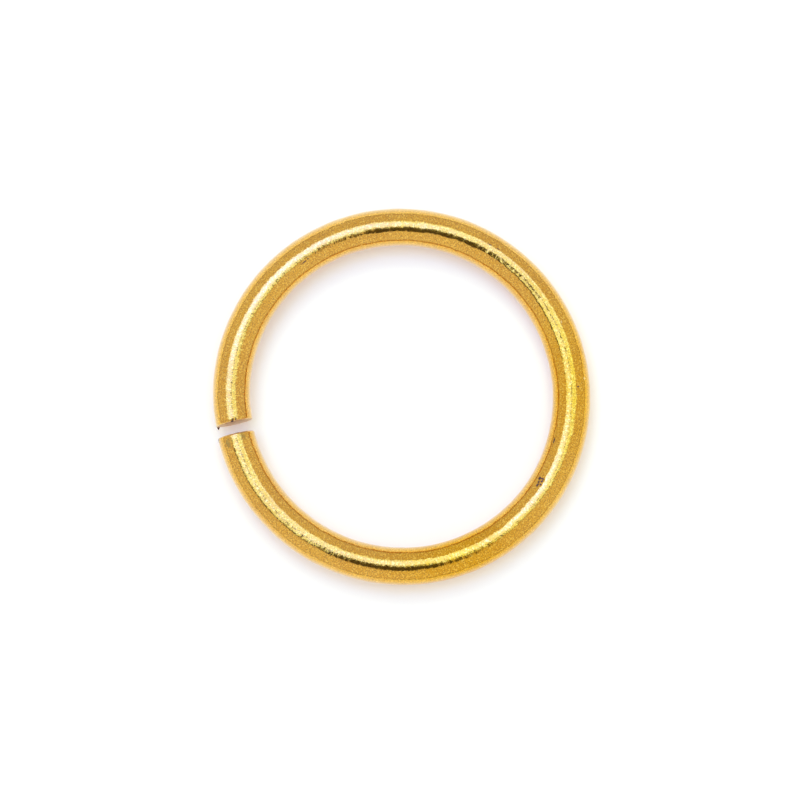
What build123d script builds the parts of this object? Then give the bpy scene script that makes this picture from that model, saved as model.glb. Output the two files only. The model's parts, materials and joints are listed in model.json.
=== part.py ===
"""An open key ring: one turn of round wire, cut once, in millimetres.

The ring lies flat, its axis along +Z, with its centre at the origin. The gap is at -X and the back
of the ring at +X. The wire is one piece. It is divided at the back, square to the wire, into the
two arms that part there when the ring is twisted open, so that each arm is a solid of its own.
"""

import os

from build123d import *

# Driving dimensions, in millimetres and degrees.
outer_diameter = 25.0
wire_diameter = 2.5
gap_width = 0.75
cut_skew = 2.0
cut_tilt = 2.5
cut_edge_radius = 0.1

# The wire's section and the circle that its centre line follows.
wire_radius = wire_diameter / 2
bend_radius = outer_diameter / 2 - wire_radius

# The slab that a cutter takes out of the turn reaches this far past the wire on every side.
cutter_margin = wire_diameter


def gap_slab():
    """The material taken out at -X: a parallel slab, turned a little in plan and leaning a little."""
    reach = wire_diameter + 2 * cutter_margin
    place = Pos(-bend_radius, 0, 0) * Rot(Z=cut_skew) * Rot(X=-cut_tilt)
    return place * Box(reach, gap_width, reach)


def open_ring():
    """The whole wire: a full turn less the gap, with the rims of its two cut faces broken."""
    ring = Torus(bend_radius, wire_radius) - gap_slab()
    cut_rims = ring.faces().filter_by(GeomType.PLANE).edges()
    return fillet(cut_rims, cut_edge_radius)


def wire_arm(ring, side):
    """The half of the ring on one side of the plane through the back and the gap."""
    return split(ring, bisect_by=Plane.XZ, keep=side)


def write_parts(parts):
    os.makedirs("parts", exist_ok=True)
    for name, part in parts.items():
        part.label = name
        export_step(part, f"parts/{name}.step")


ring = open_ring()
parts = {
    "upper_wire_arm": wire_arm(ring, Keep.BOTTOM),
    "lower_wire_arm": wire_arm(ring, Keep.TOP),
}
write_parts(parts)

for name, part in parts.items():
    box = part.bounding_box()
    print(f"{name}: {part.volume:.1f} mm3, y from {box.min.Y:.3f} to {box.max.Y:.3f} mm")
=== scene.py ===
"""Looks of an open key ring: one turn of gold-plated wire lying on a white surface. In metres."""

import json
import math

import bpy
import numpy as np
from mathutils import Matrix, Vector


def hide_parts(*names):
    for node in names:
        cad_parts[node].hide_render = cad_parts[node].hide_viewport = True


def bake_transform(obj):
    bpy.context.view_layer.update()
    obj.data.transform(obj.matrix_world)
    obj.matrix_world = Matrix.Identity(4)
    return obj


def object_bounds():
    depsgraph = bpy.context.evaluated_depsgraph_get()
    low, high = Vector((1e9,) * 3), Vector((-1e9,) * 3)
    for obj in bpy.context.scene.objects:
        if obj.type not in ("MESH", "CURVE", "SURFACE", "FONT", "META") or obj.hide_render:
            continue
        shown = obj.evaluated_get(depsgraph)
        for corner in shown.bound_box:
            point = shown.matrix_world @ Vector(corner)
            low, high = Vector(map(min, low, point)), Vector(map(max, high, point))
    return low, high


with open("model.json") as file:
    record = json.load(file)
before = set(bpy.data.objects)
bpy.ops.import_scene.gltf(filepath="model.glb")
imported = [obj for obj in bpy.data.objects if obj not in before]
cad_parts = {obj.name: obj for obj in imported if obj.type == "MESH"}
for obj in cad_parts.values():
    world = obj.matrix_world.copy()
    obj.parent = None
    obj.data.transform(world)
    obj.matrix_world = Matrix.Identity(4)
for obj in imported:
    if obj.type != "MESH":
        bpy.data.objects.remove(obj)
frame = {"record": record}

MM = 0.001
cad_low, cad_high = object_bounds()

# The ring's sizes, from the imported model: its box, and the gap's width from the record.
mounts = {mount["name"]: mount for mount in frame["record"]["mounts"]}
wire_radius = (cad_high.z - cad_low.z) / 2
bend_radius = (cad_high.y - cad_low.y) / 2 - wire_radius
gap_width = mounts["entry_gap"]["dims"]["length_mm"] * MM

# How the wire was cut: the plane's turn in plan, its lean, and how far the rims are worn round.
cut_skew = math.radians(2.0)
cut_tilt = math.radians(2.5)
rim_radius = 0.14 * MM

# How the wire departs from a true circle.
oval_size = 0.045 * MM
oval_direction = math.radians(129.0)
end_dip = 0.06 * MM
end_dip_reach = math.radians(13.0)

# Where the drawn section leans a little out of round: the place (degrees round the ring), how far it
# reaches either way, and the lean of its upper side (radians, more towards the ring's outer side).
section_leans = [(28, 30, -0.055), (104, 30, 0.045), (-146, 24, -0.035), (-66, 34, -0.022)]

# Where the ring is sprung out of its own plane: the place and how far it reaches (degrees), and how
# steeply the wire climbs there (radians).
warps = [(37, 22, 0.013), (115, 18, 0.011), (-143, 18, 0.016), (-50, 26, -0.016)]

# How finely the wire's mesh is divided: along it, round it, and where it nears a cut face.
rows_along = 940
columns_round = 96
rim_rows = 6
face_rows = 12
fine_rows = 10
fine_step = 0.03 * MM

# The camera: the picture's width where the ring lies, how the camera stands, and how far right of the
# ring's centre and above it the middle of the picture is.
picture_width = 53.0 * MM
camera_distance = 220 * MM
camera_roll = math.radians(11.07)
camera_lean = math.radians(3.0)
aim_right = -0.099 * MM
aim_up = -0.236 * MM

# Small marks on the wire, in the four lists below. Each has its place (degrees round the ring from the
# back, degrees round the wire from its outer side), its length along the wire, its width round it and
# its depth (millimetres). First the pits and scratches, then a dark spot at each end's outer corner,
# which is painted shade where the highlight turns over the rounded rim.
dark_marks = [
    (-44.4, 118, 0.22, 0.14, 0.030),
    (-43.7, 110, 0.13, 0.16, 0.025),
    (-43.2, 121, 0.17, 0.15, 0.035),
    (-42.6, 112, 0.20, 0.13, 0.030),
    (-42.1, 124, 0.24, 0.15, 0.030),
    (-41.7, 114, 0.13, 0.24, 0.020),
    (-27.4, 130, 0.42, 0.10, 0.012),
    (-8.2, 72, 0.07, 0.14, 0.006),
    (115.0, 108, 0.36, 0.06, 0.010),
    (113.2, 106, 0.16, 0.05, 0.008),
    (48.5, 74, 0.30, 0.05, 0.006),
    (45.5, 72, 0.22, 0.05, 0.006),
    # The dark spots at the two ends' outer corners: painted shade, not stains.
    (-177.4, 14, 0.30, 0.34, 0.010),
    (178.9, -12, 0.30, 0.30, 0.000),
]
# Notches in the rim of the upper end.
end_marks = [
    (177.6, 86, 0.16, 0.20, 0.060),
    (177.4, 98, 0.22, 0.07, 0.035),
]
# Brown tarnish near the lower end, without any depth.
tarnished = [
    (-176.3, 122, 0.95, 0.95, 0.0),
    (-175.6, 62, 0.60, 0.50, 0.0),
]
# Bright rubs.
bright_marks = [
    (-5.6, 46, 0.15, 0.17, 0.010),
    (13.7, 72, 0.20, 0.11, 0.008),
]

# Where the plating is deepest in colour: the place, how far it reaches either way (degrees), how deep.
deep_patches = [(-81, 24, 0.85), (-8, 27, 0.72)]

# The drawn wire's unevenness, as three bands of waves: the seed and the number of its waves, the longest
# and the shortest of them, how many may go once round the wire, and how high the band stands.
wave_bands = [
    (3, 24, 9.0 * MM, 2.5 * MM, 3, 0.0035 * MM),
    (5, 36, 2.5 * MM, 0.9 * MM, 8, 0.0018 * MM),
    (8, 70, 0.9 * MM, 0.3 * MM, 20, 0.0011 * MM),
]

# The cut faces: how high their shear lines stand, each of the two sets' spacing divided by two pi, how
# far the faces bulge and over what height, and how soon all of it fades behind the rim.
shear_height = 0.004 * MM
coarse_shear = 0.11 * MM
fine_shear = 0.043 * MM
bulge = 0.02 * MM
bulge_height = 0.5 * MM
relief_fade = 0.03 * MM

# The burr on the upper arm: its height, its place round the wire and inwards from the wire's outside,
# how broad it is, and how soon it fades behind the rim.
burr_height = 0.24 * MM
burr_turn = math.radians(-12)
burr_inset = 0.06 * MM
burr_reach = 0.10 * MM
burr_fade = 0.15 * MM

# Where the bare metal of a cut face begins, as a share of the wire's radius, and how softly.
bare_edge = 0.955
bare_edge_softness = 0.04

# How fine the plating's patterns and the spots' ragged edges are, in repeats for each metre.
cloud_scale = 420
patch_scale = 1500
grain_scale = 8500
fine_grain_scale = 13000
draw_line_scale = 9000
ragged_scale = 9000

# How deep the draw lines and the grain are, and how much of their fineness the draw lines keep along
# the wire.
draw_line_depth = 0.0012 * MM
grain_depth = 0.0065 * MM
draw_line_share = 0.03

# The wire's colours.
gold_deep = (0.725, 0.345, 0.006, 1)
gold_light = (0.790, 0.410, 0.014, 1)
gold_patch = (0.73, 0.380, 0.032, 1)
bright_grain = (0.92, 0.55, 0.07, 1)
dark_grain = (0.45, 0.20, 0.01, 1)
dark_brass = (0.66, 0.43, 0.23, 1)
light_brass = (0.88, 0.65, 0.40, 1)
brown_tarnish = (0.36, 0.23, 0.03, 1)
# Near black: stains in the pits and scratches, and painted shade at the ends' outer corners.
black_stain_and_shade = (0.09, 0.05, 0.06, 1)
bright_rub = (0.95, 0.80, 0.45, 1)
# Paler colour painted where the wire is seen edge-on: a painted sheen, for the white board's reflection.
painted_edge_sheen = (0.80, 0.64, 0.34, 1)

# The stage's colours: the board that the ring lies on and its glow, the softbox's light far from its
# lamps and close to them, and the dark cloth and grey frame round the softbox.
board_colour = (0.85, 0.87, 0.49)
board_glow = (0.225, 0.15, 0.27, 1)
diffuser_glow = (1.27, 1.80, 2.5, 1)
lamp_glow = (1.8, 2.5, 10.5, 1)
cloth_colour = (0.075, 0.068, 0.075)
frame_colour = (0.12, 0.11, 0.10)

# How far away the softbox hangs, and how far in front of it its rims and the camera's stand are.
softbox_distance = 550 * MM
rims_in_front = 5 * MM
stand_in_front = 10 * MM

# The lamp that shapes the shadow: how high over the picture it stands, how far it is swung from the
# picture's top towards its left, how broad it looks, its strength and its colour.
shadow_light_elevation = math.radians(60)
shadow_light_swing = math.radians(13)
shadow_light_breadth = math.radians(45)
shadow_light_strength = 2.4
shadow_light_colour = (0.93, 1.0, 0.8)

# The room's brightness towards the picture's bottom and top, and its share of that at the horizon, from
# where it rises to the whole at the given height (1 is straight above).
room_bottom = 0.94
room_top = 0.80
horizon_share = 0.60
horizon_height = 0.15


def smoothstep(value):
    t = np.clip(value, 0.0, 1.0)
    return t * t * (3 - 2 * t)


# ---------------------------------------------------------------- the wire's shape


def ripple(arc, turn, seed, waves, longest, shortest, most_turns):
    """A smooth field over the wire of unit size, from waves between the given lengths (metres)."""
    draw = np.random.default_rng(seed)
    total = np.zeros_like(arc)
    for _ in range(waves):
        length = math.exp(draw.uniform(math.log(shortest), math.log(longest)))
        turns = draw.integers(-most_turns, most_turns + 1)
        phase = draw.uniform(0, 2 * math.pi)
        total += np.cos(arc * bend_radius * 2 * math.pi / length + turn * turns + phase)
    return total / math.sqrt(waves / 2)


def bend_at(arc):
    """The radius of the centre line at an angle from the back of the ring."""
    oval = oval_size * np.cos(2 * (arc - oval_direction))
    dip = end_dip * smoothstep((arc - math.pi + end_dip_reach) / end_dip_reach)
    return bend_radius + oval - dip


def rise_at(arc):
    """How far the sprung centre line has climbed at an angle from the back of the ring."""
    total = np.zeros_like(arc)
    for middle, reach, slope in warps:
        width = math.radians(reach)
        total = total + slope * bend_radius * width * np.tanh((arc - math.radians(middle)) / width)
    return total


def point_on(arc, turn, radius):
    """The point at an angle round the ring, an angle round the wire and a distance from its centre. The
    centre line's lowest place has height 0."""
    out = bend_at(arc) + radius * np.cos(turn)
    climb = rise_at(arc)
    height = climb - climb.min() + radius * np.sin(turn)
    return np.stack([out * np.cos(arc), out * np.sin(arc), height], axis=-1)


def end_arc(side, turn, radius, back_off):
    """Where a line along the wire meets its cut face, as an angle from the back of the ring."""
    normal = Matrix.Rotation(cut_skew, 3, "Z") @ Matrix.Rotation(-cut_tilt, 3, "X") @ Vector((0, 1, 0))
    across = radius * np.cos(turn)
    height = radius * np.sin(turn)
    lean = (normal.x * across - normal.z * height) / normal.y
    clear = gap_width / 2 + side * lean + back_off
    return side * (math.pi - clear / (bend_radius + across))


def cut_rows():
    """The surface near a cut face, from the face's middle outwards: radius, distance behind the face."""
    rows = [((wire_radius - rim_radius) * k / face_rows, 0.0) for k in range(1, face_rows)]
    for k in range(rim_rows + 1):
        a = math.pi / 2 * (1 - k / rim_rows)
        rows.append((wire_radius - rim_radius * (1 - math.cos(a)), rim_radius * (1 - math.sin(a))))
    for k in range(1, fine_rows + 1):
        rows.append((wire_radius, rim_radius + k * fine_step))
    return rows


def cut_relief(side, turn, radius, back_off):
    """How far a cut face stands proud of flat: faint shear lines, and a burr on the upper arm."""
    across = radius * np.cos(turn)
    height = radius * np.sin(turn)
    lines = np.sin(across / coarse_shear + 3 * height / wire_radius) + np.sin(across / fine_shear + 1.0)
    dish = 1 - (radius / wire_radius) ** 2
    bulging = bulge * side * np.sin(height / bulge_height) * dish
    proud = (shear_height * lines + bulging) * np.exp(-back_off / relief_fade)
    if side > 0:
        off_corner = np.hypot((turn - burr_turn) * wire_radius, wire_radius - burr_inset - radius)
        burr = np.exp(-((off_corner / burr_reach) ** 2)) * np.exp(-back_off / burr_fade)
        proud = proud + burr_height * burr
    return proud


def wire_grid():
    """Angle round the ring, angle round the wire and radius of every point of the wire's grid."""
    turn = np.linspace(0, 2 * math.pi, columns_round, endpoint=False)
    signed_turn = np.where(turn > math.pi, turn - 2 * math.pi, turn)
    ends = {}
    for side in (-1, 1):
        ends[side] = []
        for radius, behind in cut_rows():
            proud = cut_relief(side, signed_turn, radius, behind)
            ends[side].append(end_arc(side, turn, radius, behind - proud))
    arcs = list(ends[-1])
    start, finish = ends[-1][-1], ends[1][-1]
    for k in range(1, rows_along):
        share = k / rows_along
        arcs.append(start * (1 - share) + finish * share)
    arcs.extend(reversed(ends[1]))
    near_cut = [radius for radius, _ in cut_rows()]
    radii = near_cut + [wire_radius] * (rows_along - 1) + near_cut[::-1]
    arc = np.array(arcs)
    turn = np.broadcast_to(turn, arc.shape)
    radius = np.broadcast_to(np.array(radii)[:, None], arc.shape)
    return arc, turn, radius


def dent(arc, turn, mark):
    """How deep a mark goes at each point of the wire."""
    at_arc, at_turn, length, width, depth = mark
    along = (arc - math.radians(at_arc)) * bend_radius / (length * MM / 2)
    round_wire = (turn - math.radians(at_turn)) * wire_radius / (width * MM / 2)
    return depth * MM * np.exp(-(along**2 + round_wire**2))


def leaning(arc, turn):
    """How far the section stands off a true circle where it leans: a faint oval, turned on its side."""
    lean = 0
    for middle, reach, size in section_leans:
        away = np.degrees(np.angle(np.exp(1j * (arc - math.radians(middle)))))
        lean = lean + size * np.exp(-((away / reach) ** 2))
    return -lean * wire_radius / 2 * np.sin(2 * turn)


def uneven(arc, turn, radius):
    """The drawn wire's own unevenness, some microns high, and the marks that wear has left on it."""
    share = radius / wire_radius
    waves = sum(height * ripple(arc, turn, *band) for *band, height in wave_bands)
    dents = sum(dent(arc, turn, mark) for mark in dark_marks + bright_marks + end_marks)
    return radius + share * (waves + leaning(arc, turn) - dents)


def build_wire():
    arc, turn, radius = wire_grid()
    grid = point_on(arc, turn, uneven(arc, turn, radius))
    rows, columns = arc.shape
    points = [tuple(point) for point in grid.reshape(-1, 3)]
    polygons = []
    for row in range(rows - 1):
        near, far = row * columns, (row + 1) * columns
        for column in range(columns):
            beside = (column + 1) % columns
            polygons.append((near + column, far + column, far + beside, near + beside))
    for row, order in ((0, 1), (rows - 1, -1)):
        middle = len(points)
        points.append(tuple(grid[row].mean(axis=0)))
        for column in range(columns):
            pair = (row * columns + column, row * columns + (column + 1) % columns)
            polygons.append((middle, *pair[::order]))
    mesh = bpy.data.meshes.new("ring_wire")
    mesh.from_pydata(points, [], polygons)
    mesh.polygons.foreach_set("use_smooth", [True] * len(polygons))
    store_places(mesh, arc, turn, radius)
    mesh.validate()
    mesh.update()
    wire = bpy.data.objects.new("ring_wire", mesh)
    bpy.context.scene.collection.objects.link(wire)
    return wire


def store_places(mesh, arc, turn, radius):
    """What the material follows: where each point would lie if the wire were pulled straight, how far
    it is onto a cut face, how grainy the plating is and how deep its colour."""
    straight = np.stack([radius * np.cos(turn), arc * bend_radius, radius * np.sin(turn)], axis=-1)
    straight = straight.reshape(-1, 3)
    cut = 1 - smoothstep((radius / wire_radius - bare_edge) / bare_edge_softness)
    grain = 0.5 - 0.5 * np.cos(arc)
    degrees = np.degrees(arc)
    deep = sum(depth * np.exp(-(((degrees - at) / reach) ** 2)) for at, reach, depth in deep_patches)
    middles = [straight[:columns_round].mean(axis=0), straight[-columns_round:].mean(axis=0)]
    layer = mesh.attributes.new("straightened", "FLOAT_VECTOR", "POINT")
    layer.data.foreach_set("vector", np.vstack([straight, middles]).astype(np.float32).ravel())
    for name, values in (("cut_face", cut), ("graininess", grain), ("deep_patch", deep)):
        values = np.concatenate([values.ravel(), values[[0, -1], 0]])
        layer = mesh.attributes.new(name, "FLOAT", "POINT")
        layer.data.foreach_set("value", values.astype(np.float32))


# ---------------------------------------------------------------- materials


class Shading:
    """A material's node tree, with short ways to add the nodes that the wire's material is made of."""

    def __init__(self, name):
        self.material = bpy.data.materials.new(name)
        self.material.use_nodes = True
        self.nodes = self.material.node_tree.nodes
        self.links = self.material.node_tree.links
        self.surface = self.nodes["Principled BSDF"]

    def put(self, value, socket):
        if isinstance(value, bpy.types.NodeSocket):
            self.links.new(value, socket)
        else:
            socket.default_value = value

    def attribute(self, name, output):
        node = self.nodes.new("ShaderNodeAttribute")
        node.attribute_name = name
        return node.outputs[output]

    def noise(self, place, scale, detail):
        node = self.nodes.new("ShaderNodeTexNoise")
        node.inputs["Scale"].default_value = scale
        node.inputs["Detail"].default_value = detail
        self.links.new(place, node.inputs["Vector"])
        return node.outputs["Fac"]

    def vector(self, operation, first, second=(0, 0, 0)):
        node = self.nodes.new("ShaderNodeVectorMath")
        node.operation = operation
        self.put(first, node.inputs[0])
        self.put(second, node.inputs[1])
        return node.outputs["Value" if operation == "LENGTH" else "Vector"]

    def number(self, operation, first, second):
        node = self.nodes.new("ShaderNodeMath")
        node.operation = operation
        self.put(first, node.inputs[0])
        self.put(second, node.inputs[1])
        return node.outputs["Value"]

    def spread(self, value, low, high, to_low=0.0, to_high=1.0):
        """Carries a value from one range onto another, clamped and eased at both ends."""
        node = self.nodes.new("ShaderNodeMapRange")
        node.interpolation_type = "SMOOTHSTEP"
        self.links.new(value, node.inputs["Value"])
        for name, limit in (("From Min", low), ("From Max", high), ("To Min", to_low), ("To Max", to_high)):
            node.inputs[name].default_value = limit
        return node.outputs["Result"]

    def mix(self, share, first, second):
        node = self.nodes.new("ShaderNodeMix")
        node.data_type = "RGBA"
        self.put(share, node.inputs["Factor"])
        self.put(first, node.inputs[6])
        self.put(second, node.inputs[7])
        return node.outputs[2]

    def bump(self, height, depth, strength=1.0, under=None):
        node = self.nodes.new("ShaderNodeBump")
        node.inputs["Distance"].default_value = depth
        self.put(strength, node.inputs["Strength"])
        self.links.new(height, node.inputs["Height"])
        if under is not None:
            self.links.new(under, node.inputs["Normal"])
        return node.outputs["Normal"]


def spots(shading, place, marks, size):
    """1 in the middle of each mark, 0 outside it, with ragged edges. Size 1 covers about the mark."""
    ragged = shading.noise(place, ragged_scale, 1.0)
    cover = None
    for at_arc, at_turn, length, width, _ in marks:
        turn = math.radians(at_turn)
        middle = Vector((math.cos(turn), 0, math.sin(turn))) * wire_radius
        middle.y = math.radians(at_arc) * bend_radius
        off = shading.vector("SUBTRACT", place, middle)
        reach = (2 / (width * MM), 2 / (length * MM), 2 / (width * MM))
        away = shading.vector("LENGTH", shading.vector("MULTIPLY", off, reach))
        away = shading.number("ADD", away, shading.spread(ragged, 0.3, 0.7, -0.3, 0.3))
        spot = shading.spread(away, 0.55 * size, 1.15 * size, 1.0, 0.0)
        cover = spot if cover is None else shading.number("MAXIMUM", cover, spot)
    return cover


def gold_plating():
    """Bright gold plate with a fine grain, cloudy patches and draw lines; bare brass on the cut faces."""
    shading = Shading("gold_plated_wire")
    place = shading.attribute("straightened", "Vector")
    graininess = shading.attribute("graininess", "Fac")
    deep = shading.attribute("deep_patch", "Fac")
    cut_face = shading.attribute("cut_face", "Fac")

    clouds = shading.noise(place, cloud_scale, 3.0)
    patches = shading.noise(place, patch_scale, 3.0)
    grain = shading.noise(place, grain_scale, 2.0)
    fine_grain = shading.noise(place, fine_grain_scale, 1.0)
    drawn = shading.vector("MULTIPLY", place, (1.0, draw_line_share, 1.0))
    draw_lines = shading.noise(drawn, draw_line_scale, 2.0)

    cloudy = shading.spread(clouds, 0.3, 0.7)
    colour = shading.mix(cloudy, gold_deep, gold_light)
    colour = shading.mix(shading.spread(patches, 0.35, 0.75, 0.0, 0.5), colour, gold_patch)
    colour = shading.mix(shading.spread(grain, 0.5, 0.64, 0.0, 1.0), colour, bright_grain)
    colour = shading.mix(shading.spread(fine_grain, 0.50, 0.34, 0.0, 0.75), colour, dark_grain)

    brass = shading.mix(shading.spread(draw_lines, 0.3, 0.7), dark_brass, light_brass)
    colour = shading.mix(cut_face, colour, brass)
    patchy = shading.spread(patches, 0.4, 0.6, 0.0, 0.75)
    tarnish = shading.number("MULTIPLY", spots(shading, place, tarnished, 1.0), patchy)
    colour = shading.mix(tarnish, colour, brown_tarnish)
    # Near black over the pits and scratches as stains, over the upper end's notches, and over the ends'
    # outer corners as painted shade.
    stain_and_shade = spots(shading, place, dark_marks + end_marks, 1.25)
    colour = shading.mix(shading.number("MULTIPLY", stain_and_shade, 0.95), colour, black_stain_and_shade)
    shine = spots(shading, place, bright_marks, 1.0)
    colour = shading.mix(shading.number("MULTIPLY", shine, 0.6), colour, bright_rub)

    # Painted sheen: the colour turns paler where the wire is seen edge-on, standing in for the board's
    # reflection.
    edge_on = shading.nodes.new("ShaderNodeLayerWeight").outputs["Facing"]
    colour = shading.mix(shading.spread(edge_on, 0.3, 0.8, 0.0, 0.36), colour, painted_edge_sheen)

    roughness = shading.spread(patches, 0.3, 0.7, 0.07, 0.12)
    roughness = shading.number("ADD", roughness, shading.number("MULTIPLY", cut_face, 0.35))
    roughness = shading.number("ADD", roughness, shading.number("MULTIPLY", stain_and_shade, 0.35))

    lines = shading.bump(draw_lines, draw_line_depth)
    amount = shading.spread(graininess, 0.0, 1.0, 0.45, 1.0)
    normal = shading.bump(grain, grain_depth, amount, lines)

    surface = shading.surface
    surface.inputs["Metallic"].default_value = 1.0
    coat = shading.number("SUBTRACT", shading.number("SUBTRACT", 1.0, deep), cut_face)
    shading.put(shading.number("SUBTRACT", coat, stain_and_shade), surface.inputs["Coat Weight"])
    surface.inputs["Coat IOR"].default_value = 1.6
    surface.inputs["Coat Roughness"].default_value = 0.06
    shading.put(colour, surface.inputs["Base Color"])
    shading.put(roughness, surface.inputs["Roughness"])
    shading.put(normal, surface.inputs["Normal"])
    shading.put(normal, surface.inputs["Coat Normal"])
    return shading.material


def plain_material(name, colour):
    shading = Shading(name)
    shading.surface.inputs["Base Color"].default_value = (*colour, 1)
    shading.surface.inputs["Roughness"].default_value = 1.0
    shading.surface.inputs["Specular IOR Level"].default_value = 0.0
    return shading.material


# ---------------------------------------------------------------- floor, lights and camera


def picture_axes():
    """The picture's right, up and out directions, in the frame."""
    roll = Matrix.Rotation(-camera_roll, 3, "Z")
    right, up = roll @ Vector((1, 0, 0)), roll @ Vector((0, 1, 0))
    lean = Matrix.Rotation(camera_lean, 3, right)
    return right, lean @ up, lean @ Vector((0, 0, 1))


def aim_point(across, above, distance):
    """The point on a plane square to the line of sight that stands at two angles (degrees) from it."""
    right, up, out = picture_axes()
    size = max(math.hypot(across, above), 1e-6)
    return out * distance + (right * across + up * above) * (distance * math.tan(math.radians(size)) / size)


def ray_fan(middle, reach, first, last, steps):
    """Points on an arc, in degrees: its middle, its radius, and the directions where it begins and ends."""
    points = []
    for k in range(steps + 1):
        a = math.radians(first + (last - first) * k / steps)
        points.append((middle[0] + reach * math.cos(a), middle[1] + reach * math.sin(a)))
    return points


def card(name, outline, distance, material):
    """A flat card above the ring, with its corners at the given angles from the line of sight."""
    mesh = bpy.data.meshes.new(name)
    mesh.from_pydata([aim_point(*corner, distance) for corner in outline], [], [range(len(outline))])
    mesh.materials.append(material)
    piece = bpy.data.objects.new(name, mesh)
    bpy.context.scene.collection.objects.link(piece)


def lamp_behind(shading, place, centre, reach):
    """1 at a point of the softbox, falling to 0 a number of degrees away."""
    off = shading.vector("SUBTRACT", place, aim_point(*centre, softbox_distance))
    away = shading.vector("LENGTH", off)
    return shading.spread(away, 0.0, softbox_distance * math.tan(math.radians(reach)), 1.0, 0.0)


def softbox_material():
    """A diffuser lit from behind by cool lamps: the nearer a point is to a lamp, the bluer its light."""
    shading = Shading("softbox")
    place = shading.nodes.new("ShaderNodeTexCoord").outputs["Object"]
    left_lamp = lamp_behind(shading, place, (-15, 21), 29)
    right_lamp = shading.number("MULTIPLY", lamp_behind(shading, place, (17, 24), 17), 0.32)
    share = shading.number("ADD", left_lamp, right_lamp)
    colour = shading.mix(share, diffuser_glow, lamp_glow)
    shading.surface.inputs["Base Color"].default_value = (0, 0, 0, 1)
    shading.surface.inputs["Specular IOR Level"].default_value = 0.0
    shading.surface.inputs["Emission Strength"].default_value = 1.0
    shading.put(colour, shading.surface.inputs["Emission Color"])
    return shading.material


def white_surface():
    """White board that also glows faintly, as it does when it is lit through from below."""
    material = plain_material("white_surface", board_colour)
    surface = material.node_tree.nodes["Principled BSDF"]
    surface.inputs["Emission Color"].default_value = board_glow
    surface.inputs["Emission Strength"].default_value = 1.0
    return material


def make_floor():
    reach = 1.6
    mesh = bpy.data.meshes.new("floor")
    corners = [(-reach, -reach), (reach, -reach), (reach, reach), (-reach, reach)]
    mesh.from_pydata([(x, y, cad_low.z) for x, y in corners], [], [(0, 1, 2, 3)])
    mesh.materials.append(white_surface())
    floor = bpy.data.objects.new("floor", mesh)
    bpy.context.scene.collection.objects.link(floor)


def make_lights():
    """A softbox over the ring, its dark rims, and the camera's stand, which all show on the wire."""
    black = plain_material("black_cloth", cloth_colour)
    grey = plain_material("grey_frame", frame_colour)
    lower_edge = [(-29, -5), (-21, -9.5), (-11, -11), (-5.5, -2), (4, -1), (10, -0.5), (16, 0), (21, 1.5)]
    upper_edge = ray_fan((-3.2, 8.5), 30.3, -10, 188, 60)
    card("softbox", upper_edge + lower_edge, softbox_distance, softbox_material())
    left_rim = [(-32, 0), (-29, -5), (-21, -9.5), (-10, -11)]
    left_rim += [(-10, -15.5), (-20, -15.5), (-31, -11), (-35, -2)]
    card("softbox_left_rim", left_rim, softbox_distance - rims_in_front, black)
    right_rim = [(4, -1), (10, -0.5), (16, 0), (21, 1.5), (21, 0), (16, -1.7), (10, -2.4), (4, -3)]
    card("softbox_right_rim", right_rim, softbox_distance - rims_in_front, grey)
    stand = [(0.4, 9), (-0.7, 6), (-3.6, 1), (-8, -5.5), (-10.5, -11.5), (-11.5, -17), (-9.5, -21.5)]
    stand += [(-3, -25), (3, -24), (7, -20), (9.5, -14.5), (7, -9), (4, -4), (1.6, 1.5), (1.0, 6)]
    card("camera_and_stand", stand, softbox_distance - stand_in_front, black)


def make_shadow_light():
    """A broad light past the softbox's top edge that shapes the shadow and makes no glints."""
    right, up, out = picture_axes()
    data = bpy.data.lights.new("shadow_light", "SUN")
    data.energy = shadow_light_strength
    data.color = shadow_light_colour
    data.angle = shadow_light_breadth
    lamp = bpy.data.objects.new("shadow_light", data)
    bpy.context.scene.collection.objects.link(lamp)
    lamp.rotation_mode = "QUATERNION"
    level = up * math.cos(shadow_light_swing) - right * math.sin(shadow_light_swing)
    toward = level * math.cos(shadow_light_elevation) + out * math.sin(shadow_light_elevation)
    lamp.rotation_quaternion = toward.to_track_quat("Z", "Y")
    lamp.visible_glossy = False


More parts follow.
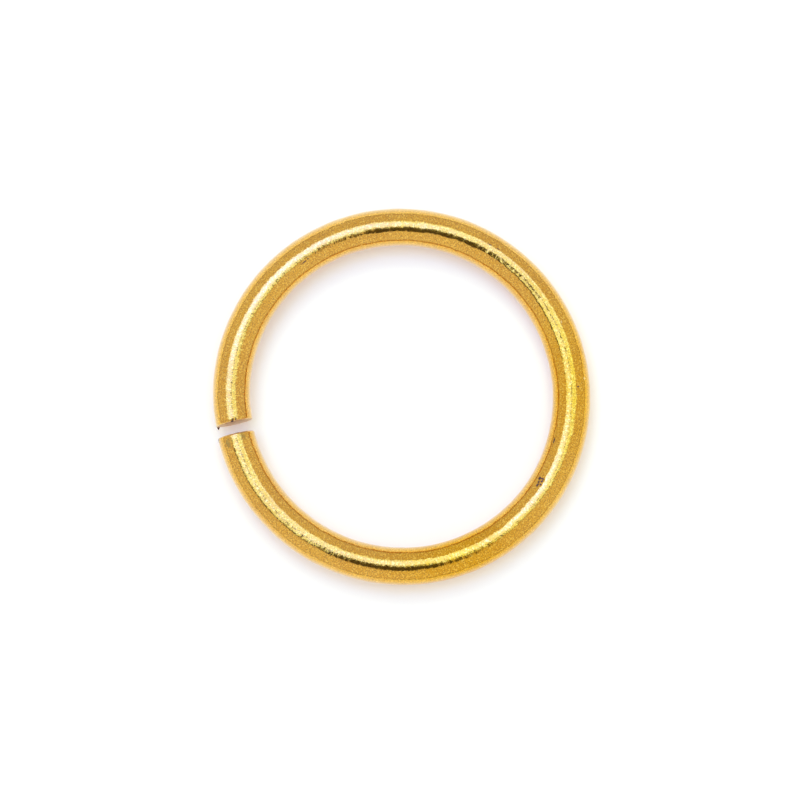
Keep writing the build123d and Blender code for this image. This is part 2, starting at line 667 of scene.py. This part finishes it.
def make_world():
    """An even, bright room: a little brighter towards the bottom of the picture, dimmer low down."""
    world = bpy.data.worlds.new("studio")
    world.use_nodes = True
    nodes, links = world.node_tree.nodes, world.node_tree.links
    seen = nodes.new("ShaderNodeTexCoord").outputs["Generated"]
    toward = nodes.new("ShaderNodeVectorMath")
    toward.operation = "DOT_PRODUCT"
    toward.inputs[1].default_value = picture_axes()[1]
    links.new(seen, toward.inputs[0])
    strength = nodes.new("ShaderNodeMapRange")
    strength.inputs["From Min"].default_value = -1.0
    strength.inputs["To Min"].default_value = room_bottom
    strength.inputs["To Max"].default_value = room_top
    links.new(toward.outputs["Value"], strength.inputs["Value"])
    direction = nodes.new("ShaderNodeSeparateXYZ")
    links.new(seen, direction.inputs[0])
    dimming = nodes.new("ShaderNodeMapRange")
    dimming.interpolation_type = "SMOOTHSTEP"
    dimming.inputs["From Min"].default_value = 0.0
    dimming.inputs["From Max"].default_value = horizon_height
    dimming.inputs["To Min"].default_value = horizon_share
    dimming.inputs["To Max"].default_value = 1.0
    links.new(direction.outputs["Z"], dimming.inputs["Value"])
    product = nodes.new("ShaderNodeMath")
    product.operation = "MULTIPLY"
    links.new(strength.outputs["Result"], product.inputs[0])
    links.new(dimming.outputs["Result"], product.inputs[1])
    sky = nodes["Background"]
    sky.inputs["Color"].default_value = (1, 1, 1, 1)
    links.new(product.outputs["Value"], sky.inputs["Strength"])
    bpy.context.scene.world = world


def make_camera():
    right, up, out = picture_axes()
    data = bpy.data.cameras.new("camera")
    data.sensor_width = 36
    data.lens = data.sensor_width * camera_distance / picture_width
    data.clip_start = 0.01
    data.clip_end = 10
    camera = bpy.data.objects.new("camera", data)
    bpy.context.scene.collection.objects.link(camera)
    camera.rotation_mode = "QUATERNION"
    camera.rotation_quaternion = Matrix((right, up, out)).transposed().to_quaternion()
    camera.location = right * aim_right + up * aim_up + out * camera_distance
    bpy.context.scene.camera = camera


# ---------------------------------------------------------------- the scene

make_camera()
make_floor()
make_lights()
make_shadow_light()
make_world()
bpy.context.scene.view_settings.view_transform = "Standard"

# The wire, in place of the two arms' parts, which are hidden.
wire = build_wire()
wire.data.materials.append(gold_plating())
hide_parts("lower_wire_arm", "upper_wire_arm")
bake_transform(wire)
